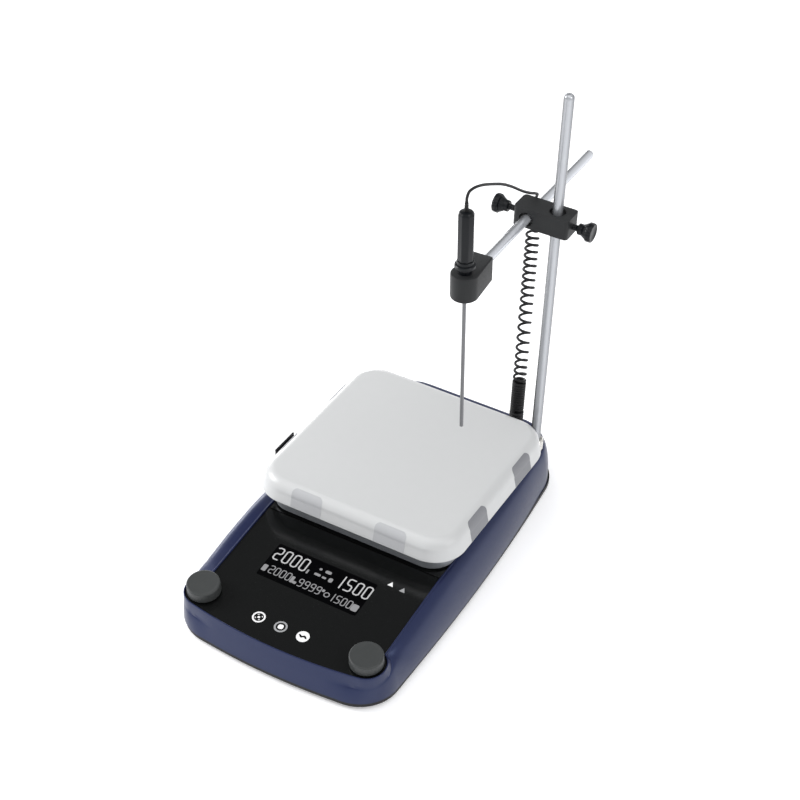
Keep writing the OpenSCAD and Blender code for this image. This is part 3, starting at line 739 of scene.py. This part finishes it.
def make_housing():
    """The blue upper housing: a shell lofted round its outline, with openings for the rear fittings."""
    right = [housing_profile(*s) for s in housing_stations(0)]
    banded = [housing_profile(*s) for s in housing_stations(LEFT_BAND)]
    left = [[(-x, y, z) for x, y, z in ring] for ring in reversed(banded[1:-1])]
    rings = right + left
    size = len(rings[0])
    points = [p for ring in rings for p in ring]
    housing = make_object("housing", points, rings_to_faces(len(rings), size, wrap=True), paint, smooth=None)
    cutters = []
    for name, reach in (("power_inlet", 0.25), ("switch_frame", 0.25)):
        low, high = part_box(name)
        cutters.append(box_cutter(low.x / MM - reach, 118, low.z / MM - reach,
                                  high.x / MM + reach, 140, high.z / MM + reach))
    low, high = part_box("rod_socket")
    middle = (low + high) / 2 / MM
    cutters.append(lathe("cutter", [(0, 40), (7.2, 40), (7.2, 60), (0, 60)], paint,
                         Matrix.Translation((middle.x, middle.y, 0)), sides=48, smooth=None))
    cut(housing, cutters)
    shade_smooth(housing.data, 42)
    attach(housing, "base")
    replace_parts(housing, "upper_housing")


# ---- Heated plate ----

PLATE_W = 184
PLATE_Z = 80.5
PLATE_FOOT_Z = 62
PLATE_R = 28
PLATE_FILLET = 9.5
PLATE_SLAB = 8
PLATE_FLARE = 2.5
INSERT_X = 38.3
INSERT_W = 28
INSERT_TOP_Z = 79
INSERT_R = 4


def plate_outline(inset):
    return rounded_outline(PLATE_W - 2 * inset, PLATE_W - 2 * inset, PLATE_R - inset, steps=16)


def plate_inset(z):
    """How far the plate's wall stands in from its widest line, at a height."""
    shoulder = PLATE_Z - PLATE_FILLET
    if z <= shoulder:
        return PLATE_FLARE * 0.8 * (z - PLATE_FOOT_Z) / (shoulder - PLATE_FOOT_Z)
    swing = math.asin(min(1, (z - shoulder) / PLATE_FILLET))
    return PLATE_FLARE * 0.8 + PLATE_FILLET * (1 - math.cos(swing))


def make_plate():
    """The white enamelled plate: a cap with leaning walls and a big round edge."""
    layers = [(plate_outline(0.8), PLATE_FOOT_Z), (plate_outline(0.15), PLATE_FOOT_Z + 0.3)]
    shoulder = PLATE_Z - PLATE_FILLET
    for k in range(5):
        z = mix(PLATE_FOOT_Z + 0.9, shoulder, k / 4)
        layers.append((plate_outline(plate_inset(z)), z))
    for k in range(1, 13):
        z = shoulder + PLATE_FILLET * math.sin(math.pi / 2 * k / 12)
        layers.append((plate_outline(plate_inset(z)), z))
    under = PLATE_Z - PLATE_SLAB
    layers = [(plate_outline(6.5), under), (plate_outline(6.5), PLATE_FOOT_Z)] + layers
    plate = layered("hot_plate", layers, enamel, smooth=28)
    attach(plate, "base")
    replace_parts(plate, "top_plate")
    for side in range(4):
        turn = Matrix.Rotation(math.radians(90 * side), 4, "Z")
        for sign in (-1, 1):
            make_insert(turn @ Matrix.Translation((sign * INSERT_X, -PLATE_W / 2, 0)), side, sign)


def make_insert(place, side, sign):
    """A grey pad with round upper corners that follows the plate's wall and edge."""
    layers = []
    low = PLATE_FOOT_Z + 0.8
    for k in range(25):
        z = mix(low, INSERT_TOP_Z, 1 - (1 - k / 24) ** 1.5)
        short = max(0, INSERT_R - (INSERT_TOP_Z - z) * 1.25)
        half = INSERT_W / 2 - INSERT_R + math.sqrt(max(0, INSERT_R ** 2 - short ** 2))
        out = plate_inset(z) - 0.14
        layers.append(([(-half, out), (half, out), (half, out + 1.2), (-half, out + 1.2)], z))
    # Painted shade: the pads on the left and right walls take the darker copy of the insert grey.
    finish = insert_grey if side % 2 == 0 else insert_painted_shade
    pad = layered(f"plate_pad_{side}_{'left' if sign < 0 else 'right'}", layers, finish, place)
    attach(pad, "base")
    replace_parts(pad, "plate_inserts")


# ---- Controls ----

KNOB_R = 13.6
KNOB_H = 8.8
KNOB_GAP = 1.6
BUTTON_R = 5.6
BUTTON_Y = -185
BUTTON_XS = {"left": -22, "middle": -2, "right": 18}
BUTTON_RISE = 0.25
BUTTON_FOOT = -4.2


def make_knob(side, sign):
    """A round knob with a rounded top edge and a soft waist."""
    profile = [(0, 0), (KNOB_R - 0.5, 0), (KNOB_R - 0.1, 0.3), (KNOB_R, 0.8), (KNOB_R - 0.12, 4),
               (KNOB_R - 0.2, 6.6)]
    for inset, drop in quarter_round(1.2, 7)[1:]:
        profile.append((KNOB_R - 0.2 - inset, KNOB_H - drop))
    profile += [(KNOB_R - 2.0, KNOB_H - 0.02), (KNOB_R - 2.6, KNOB_H - 0.12), (KNOB_R - 3.4, KNOB_H - 0.14),
                (0, KNOB_H - 0.14)]
    knob = lathe(f"{side}_dial", profile, knob_grey, on_panel(sign * KNOB_X, KNOB_Y, KNOB_GAP), sides=96)
    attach(knob, f"{side}_dial")
    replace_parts(knob, f"{side}_knob")


def ring_mesh(name, outer, inner, height, finish, place, sides=48, start=0, sweep=360):
    """A flat ring or part of one, as thin as print."""
    points = []
    spans = sides if sweep == 360 else max(4, round(sides * sweep / 360))
    steps = spans if sweep == 360 else spans + 1
    for k in range(steps):
        angle = math.radians(start + sweep * k / spans)
        for radius in (outer, inner):
            points.append(place @ Vector((radius * math.cos(angle), radius * math.sin(angle), height)))
    faces = []
    for k in range(spans):
        m = (k + 1) % steps
        faces.append((2 * k, 2 * m, 2 * m + 1, 2 * k + 1))
    return make_object(name, points, faces, finish, smooth=None)


def flat_shape(name, outline, height, finish, place):
    """A flat printed shape, from an outline of points."""
    points = [place @ Vector((x, y, height)) for x, y in outline]
    return make_object(name, points, [tuple(range(len(points)))], finish, smooth=None)


def disc(radius, x=0, y=0, sides=32):
    return [(x + radius * math.cos(2 * math.pi * k / sides), y + radius * math.sin(2 * math.pi * k / sides))
            for k in range(sides)]


def joined(name, objects):
    """Joins flat marks into one object."""
    points = []
    faces = []
    for obj in objects:
        base = len(points)
        points += [Vector(v.co) / MM for v in obj.data.vertices]
        faces += [tuple(base + i for i in face.vertices) for face in obj.data.polygons]
    finish = objects[0].data.materials[0]
    for obj in objects:
        bpy.data.objects.remove(obj)
    return make_object(name, points, faces, finish, smooth=None)


def make_button(side, x):
    """A round push button with a printed sign on its face."""
    place = on_panel(x, BUTTON_Y)
    profile = [(0, BUTTON_FOOT), (BUTTON_R, BUTTON_FOOT), (BUTTON_R, BUTTON_RISE - 0.25),
               (BUTTON_R - 0.1, BUTTON_RISE - 0.08), (BUTTON_R - 0.28, BUTTON_RISE), (0, BUTTON_RISE)]
    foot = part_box(f"{side}_button")[0].z / MM - place.translation.z + 0.7
    profile = [(r, max(h, foot)) for r, h in profile]
    button = lathe(f"{side}_button_cap", profile, panel_black, place, sides=64)
    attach(button, f"{side}_key")
    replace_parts(button, f"{side}_button")
    for mark in button_marks(side, place):
        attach(mark, f"{side}_key")


def button_marks(side, place):
    """The printed sign: a ring with a dot, a ring with a square, or a solid disc with a wave."""
    up = BUTTON_RISE + 0.01
    if side == "left":
        pieces = [ring_mesh("ring", 5.35, 4.0, up, print_white, place)]
        for k in range(4):
            pieces.append(ring_mesh("arc", 3.1, 2.4, up, print_white, place, start=20 + 90 * k, sweep=30))
        pieces.append(flat_shape("dot", disc(1.1), up, print_white, place))
        return [joined("left_button_sign", pieces)]
    if side == "middle":
        ring = ring_mesh("middle_button_ring", 5.35, 3.9, up, print_grey, place)
        corners = [heading(a + 55) * 3.1 for a in (0, 90, 180, 270)]
        square = []
        for i in range(4):
            before, here, after = corners[i - 1], corners[i], corners[(i + 1) % 4]
            square += [tuple(mix(here, before, 0.22)), tuple(mix(here, after, 0.22))]
        return [ring, flat_shape("middle_button_square", square, up, print_white, place)]
    face = flat_shape("right_button_disc", disc(5.25, sides=48), up, print_white, place)
    upper = []
    lower = []
    for k in range(25):
        x = -3.8 + 7.6 * k / 24
        centre = 0.6 * math.sin(x * 1.35)
        half = 1.0 * math.sqrt(max(0.02, 1 - (x / 3.8) ** 4))
        upper.append((x, centre + half))
        lower.append((x, centre - half))
    wave = upper + lower[::-1]
    sign = flat_shape("right_button_wave", wave, up + 0.01, panel_black, place)
    return [face, sign]


# ---- Display ----

PRINT_UP = 0.03


def stroke(points, width, height, finish, place):
    """A printed line with round ends and corners."""
    pieces = []
    for i in range(len(points) - 1):
        a, b = Vector(points[i]), Vector(points[i + 1])
        along = (b - a).normalized()
        side = Vector((-along.y, along.x)) * width / 2
        quad = [a + side, a - side, b - side, b + side]
        pieces.append(flat_shape("bar", [tuple(q) for q in quad], height, finish, place))
    for p in points:
        pieces.append(flat_shape("joint", disc(width / 2, p[0], p[1], 12), height, finish, place))
    return pieces


def digit(figure, x, y, width, height, line, up, finish, place):
    """A seven-segment figure with its lower left corner at x, y."""
    cut_in = width * 0.2
    left, right = x + line / 2, x + width - line / 2
    low, high = y + line / 2, y + height - line / 2
    middle = (low + high) / 2
    if figure == "1":
        return stroke([(x + line / 2, low), (x + line / 2, high)], line, up, finish, place)
    outlines = {
        "0": [(left, low + cut_in), (left, high - cut_in), (left + cut_in, high), (right - cut_in, high),
              (right, high - cut_in), (right, low + cut_in), (right - cut_in, low), (left + cut_in, low),
              (left, low + cut_in)],
        "2": [(left, high - cut_in * 0.6), (left + cut_in, high), (right - cut_in, high),
              (right, high - cut_in), (right, middle + cut_in), (right - cut_in, middle),
              (left + cut_in, middle), (left, middle - cut_in), (left, low + cut_in), (left + cut_in, low),
              (right - cut_in * 0.4, low)],
        "5": [(right, high), (left + cut_in, high), (left, high - cut_in), (left, middle + cut_in),
              (left + cut_in, middle), (right - cut_in, middle), (right, middle - cut_in),
              (right, low + cut_in), (right - cut_in, low), (left, low)],
        "9": [(right, middle), (left + cut_in, middle), (left, middle + cut_in), (left, high - cut_in),
              (left + cut_in, high), (right - cut_in, high), (right, high - cut_in), (right, low + cut_in),
              (right - cut_in, low), (left + cut_in * 0.5, low)],
    }
    return stroke(outlines[figure], line, up, finish, place)


def figures(name, text, x, y, width, height, pitch, line, finish):
    """A row of figures on the display window; x and y run from the panel's origin."""
    place = on_panel(0, 0)
    pieces = []
    at = x
    for figure in text:
        pieces += digit(figure, at, y / math.cos(PANEL_TILT), width, height, line, PRINT_UP, finish, place)
        at += pitch * 0.5 if figure == "1" else pitch
    return joined(name, pieces)


LARGE_BLOCKS = [(-47.6, -143.7, 4.0, 6.8), (-21.2, -143.7, 2.8, 6.6), (-18.4, -143.7, 3.2, 2.6),
                (35.2, -145.3, 5.8, 7.0), (6.8, -139.9, 2.3, 2.6)]
SMALL_BLOCKS = [(-6.5, -121.9, 2.4, 2.2), (-0.9, -122.4, 5.4, 3.0), (-7.8, -128.0, 5.6, 2.4),
                (-0.6, -128.2, 3.8, 2.0), (5.4, -129.2, 3.6, 4.4), (-14.4, -130.0, 1.6, 4.4)]


def sign_block(x, y, width, depth, roundness):
    """A small lit block with its lower left corner at x, y."""
    outline = rounded_outline(width, depth, min(width, depth) * roundness, 4)
    middle_x, middle_y = x + width / 2, y / math.cos(PANEL_TILT) + depth / 2
    moved = [(px + middle_x, py + middle_y) for px, py in outline]
    return flat_shape("block", moved, PRINT_UP, dim_mark, on_panel(0, 0))


def make_display():
    """Lit figures and small generic marks on the black window."""
    marks = [
        figures("row_left", "2000", -46.4, -129.8, 6.2, 13.4, 8.05, 1.2, lit_mark),
        figures("row_right", "1500", 16.0, -130.9, 6.2, 13.4, 8.05, 1.2, lit_mark),
        figures("small_left", "2000", -41.6, -143.6, 4.3, 8.3, 5.2, 0.85, dim_mark),
        figures("small_middle", "9999", -14.2, -144.3, 4.3, 8.3, 5.4, 0.85, dim_mark),
        figures("small_right", "1500", 17.8, -145.0, 4.2, 8.3, 5.2, 0.85, dim_mark),
    ]
    pieces = [sign_block(*block, 0.25) for block in LARGE_BLOCKS]
    pieces += [sign_block(*block, 0.4) for block in SMALL_BLOCKS]
    marks.append(joined("display_signs", pieces))
    marks.append(ring_mesh("display_clock", 2.6, 1.7, PRINT_UP, dim_mark, on_panel(12.2, -141.0)))
    triangle = [(-2.5, -2.1), (2.5, -2.1), (0, 2.4)]
    marks.append(flat_shape("panel_sign_left", triangle, PRINT_UP, print_white, on_panel(51, -107.6)))
    marks.append(flat_shape("panel_sign_right", triangle, PRINT_UP, print_grey, on_panel(62, -108.5)))
    for mark in marks:
        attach(mark, "base")


# ---- Clamp, holder and probe ----

ARM_X = 51
ARM_Z = 272
PROBE_Y = -11
PROBE_TILT = math.radians(-2.1)
HOLDER_FRONT_R = 11
HOLDER_BACK_W = 17.5
HOLDER_BACK_Y = 18
HOLDER_CORNER = 1.5
HOLDER_TOP_Z = ARM_Z + 8.6
HOLDER_FOOT_Z = ARM_Z - 12.6
ON_ARM = (Matrix.Translation((ARM_X, 0, ARM_Z)) @ Matrix.Rotation(PROBE_TILT, 4, "Y")
          @ Matrix.Translation((-ARM_X, 0, -ARM_Z)))


def make_thumbscrew(name, start_x, direction, stem, body):
    """A clamping screw: a threaded stem, a hub that widens in steps and a flange with shallow ribs."""
    profile = [(0, 0), (2.2, 0), (2.5, 0.4)]
    turns = 9
    for k in range(turns):
        z = 1 + (stem - 2) * k / turns
        profile += [(2.5, z), (2.2, z + 0.35 * (stem - 2) / turns), (2.5, z + 0.7 * (stem - 2) / turns)]
    profile += [(2.5, stem), (4.2, stem), (4.6, stem + 0.4), (4.6, stem + 3.4), (4.9, stem + 4),
                (5.3, stem + 4.3), (6.6, stem + 6.9), (6.4, stem + 7.3), (7.4, stem + 7.6), (7.8, stem + 8.2),
                (7.8, stem + 11.5), (7.5, stem + 12.2), (6.8, stem + 12.5), (5.8, stem + 12.3),
                (5.0, stem + 11.9), (0, stem + 11.9)]

    def ribs(angle, radius, height):
        if height < stem + 4.2:
            return 1
        return 1 - 0.035 * (0.5 - 0.5 * math.cos(12 * angle)) ** 2

    turn = Matrix.Rotation(math.radians(90 * direction), 4, "Y")
    place = Matrix.Translation((start_x, 100, ARM_Z)) @ turn
    screw = lathe(name, profile, grip_black, place, sides=96, lobes=ribs)
    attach(screw, body)
    return screw


def make_holder():
    """The holder: a rounded block with a socket for the probe and a bore for the arm."""
    outline = []
    for k in range(33):
        swing = math.radians(180 + 180 * k / 32)
        outline.append((ARM_X + HOLDER_FRONT_R * math.cos(swing), PROBE_Y + HOLDER_FRONT_R * math.sin(swing)))
    for sign, start in ((1, 0), (-1, 90)):
        corner_x = ARM_X + sign * (HOLDER_BACK_W / 2 - HOLDER_CORNER)
        for k in range(7):
            swing = math.radians(start + 90 * k / 6)
            outline.append((corner_x + HOLDER_CORNER * math.cos(swing),
                            HOLDER_BACK_Y - HOLDER_CORNER + HOLDER_CORNER * math.sin(swing)))

    def inset(amount):
        made = []
        for i, p in enumerate(outline):
            before, after = Vector(outline[i - 1]), Vector(outline[(i + 1) % len(outline)])
            along = (after - before).normalized()
            made.append((p[0] - along.y * amount, p[1] + along.x * amount))
        return made

    layers = [(inset(amount), HOLDER_FOOT_Z + drop) for amount, drop in reversed(quarter_round(1.6))]
    layers += [(inset(amount), HOLDER_TOP_Z - drop) for amount, drop in quarter_round(1.0)]
    holder = layered("probe_holder_body", layers, clamp_black, ON_ARM, smooth=None)
    bore = lathe("cutter", [(0, 0), (4.06, 0), (4.06, 14), (0, 14)], clamp_black,
                 ON_ARM @ Matrix.Translation((ARM_X, HOLDER_BACK_Y + 3, ARM_Z))
                 @ Matrix.Rotation(math.pi / 2, 4, "X"),
                 sides=48, smooth=None)
    socket = lathe("cutter", [(0, -60), (5.2, -60), (5.2, 60), (0, 60)], clamp_black,
                   ON_ARM @ Matrix.Translation((ARM_X, PROBE_Y, ARM_Z)), sides=48, smooth=None)
    screw_hole = lathe("cutter", [(0, 0), (1.5, 0), (1.5, 12), (0, 12)], clamp_black,
                       ON_ARM @ Matrix.Translation((ARM_X - 12, HOLDER_BACK_Y - 6, ARM_Z))
                       @ Matrix.Rotation(math.pi / 2, 4, "Y"), sides=24, smooth=None)
    cut(holder, [bore, socket, screw_hole])
    shade_smooth(holder.data, 30)
    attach(holder, "holder")
    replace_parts(holder, "probe_holder")


def octagon(angle, radius, height):
    """Eight flats with small rounded corners, as a factor on the radius by angle."""
    if radius < 5.3:
        return 1
    nearest = (angle + math.pi / 8) % (math.pi / 4) - math.pi / 8
    return min(math.cos(math.pi / 8) / math.cos(nearest), 0.985)


def make_probe():
    """The probe's collar, grip and gland."""
    place = ON_ARM @ Matrix.Translation((ARM_X, PROBE_Y, 0)) @ Matrix.Rotation(math.pi / 8, 4, "Z")
    collar_z = ARM_Z + 11.6
    collar = [(0, ARM_Z - 6.6), (5.1, ARM_Z - 6.6), (5.1, collar_z), (5.6, collar_z + 0.2),
              (5.6, collar_z + 1.6), (7.6, collar_z + 1.9), (8.1, collar_z + 2.4), (8.1, collar_z + 4.3),
              (7.6, collar_z + 4.9), (6.6, collar_z + 5.2), (6.5, collar_z + 7.4), (6.2, collar_z + 7.9),
              (0, collar_z + 7.9)]
    ring = lathe("probe_ring", collar, grip_black, place, sides=96, smooth=25)
    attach(ring, "probe")
    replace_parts(ring, "probe_collar")
    foot, top = ARM_Z + 19.5, ARM_Z + 61
    grip = [(0, foot), (5.6, foot), (6.1, foot + 0.4), (6.3, foot + 1.2), (6.3, top - 2.6), (6.1, top - 1.8),
            (5.5, top - 0.9), (4.9, top - 0.3), (4.2, top), (0, top)]
    handle = lathe("probe_grip", grip, grip_black, place, sides=96, lobes=octagon, smooth=25)
    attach(handle, "probe")
    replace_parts(handle, "probe_handle")
    gland = [(0, top - 0.2), (1.75, top - 0.2)]
    for k in range(4):
        z = top + 0.2 + 1.9 * k
        r = 1.75 - 0.09 * k
        gland += [(r, z), (r, z + 1.0), (r - 0.2, z + 1.1), (r - 0.2, z + 1.6)]
    gland += [(1.35, top + 7.8), (0, top + 8)]
    sleeve = lathe("probe_gland", gland, cord_black, place, sides=32)
    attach(sleeve, "probe")
    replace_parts(sleeve, "cable_gland")


# ---- Stage ----

SKY_BRIGHT = 0.74
SKY_DIM = 0.16
DIM_PATCH = (-0.376, 0.545, 0.751)
DIM_EDGE = (0.89, 0.975)
FLOOR_HALF = 12000


def area_light(name, place, target, size, power):
    data = bpy.data.lights.new(name, "AREA")
    data.shape = "RECTANGLE"
    data.size, data.size_y = size
    data.energy = power
    light = bpy.data.objects.new(name, data)
    light.location = place
    light.rotation_mode = "QUATERNION"
    light.rotation_quaternion = (Vector(target) - Vector(place)).to_track_quat("-Z", "Y")
    scene.collection.objects.link(light)


def make_sky():
    """A soft even sky with one dim patch, high up behind the object, for the black panel to reflect."""
    world = bpy.data.worlds.new("studio")
    world.use_nodes = True
    nearness = facing(world.node_tree, "Generated", DIM_PATCH)
    level = mapped(world.node_tree, nearness, SKY_BRIGHT, SKY_DIM, *DIM_EDGE, curve="SMOOTHSTEP")
    background = world.node_tree.nodes["Background"]
    put(background, {"Color": (0.98, 0.985, 1.0, 1)})
    world.node_tree.links.new(level, background.inputs["Strength"])
    return world


def make_stage():
    """A plain pale floor, the sky and broad studio lights."""
    corners = [(x * FLOOR_HALF, y * FLOOR_HALF, 0) for x, y in ((-1, -1), (1, -1), (1, 1), (-1, 1))]
    floor = make_object("floor", corners, [(0, 1, 2, 3)], floor_white, smooth=None)
    scene.world = make_sky()
    area_light("key", (1.75, -0.15, 1.25), (0, -0.05, 0.1), (0.9, 0.9), 9)
    area_light("top", (0.3, -0.5, 2.3), (0, 0, 0), (2.2, 2.2), 15)
    area_light("left", (-1.6, -0.5, 1.0), (0, -0.05, 0.1), (0.9, 0.9), 26)
    area_light("rim", (-1.4, 1.25, 0.3), (0, -0.05, 0.06), (1.4, 0.5), 12)
    scene.view_settings.view_transform = "Standard"
    scene.view_settings.look = "None"


make_stage()
dress_nodes()
make_housing()
make_plate()
for knob_side, knob_sign in (("left", -1), ("right", 1)):
    make_knob(knob_side, knob_sign)
for button_side, button_x in BUTTON_XS.items():
    make_button(button_side, button_x)
make_display()
weld_and_bevel("clamp_block", 0.8)
rod_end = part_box("rod_thumbscrew")[0]
arm_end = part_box("arm_thumbscrew")[1]
rod_screw = make_thumbscrew("rod_clamp_screw", rod_end.x / MM, 1, 14.6, "rod_screw")
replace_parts(rod_screw, "rod_thumbscrew")
arm_screw = make_thumbscrew("arm_clamp_screw", arm_end.x / MM, -1, 15.4, "arm_screw")
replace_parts(arm_screw, "arm_thumbscrew")
make_holder()
make_probe()
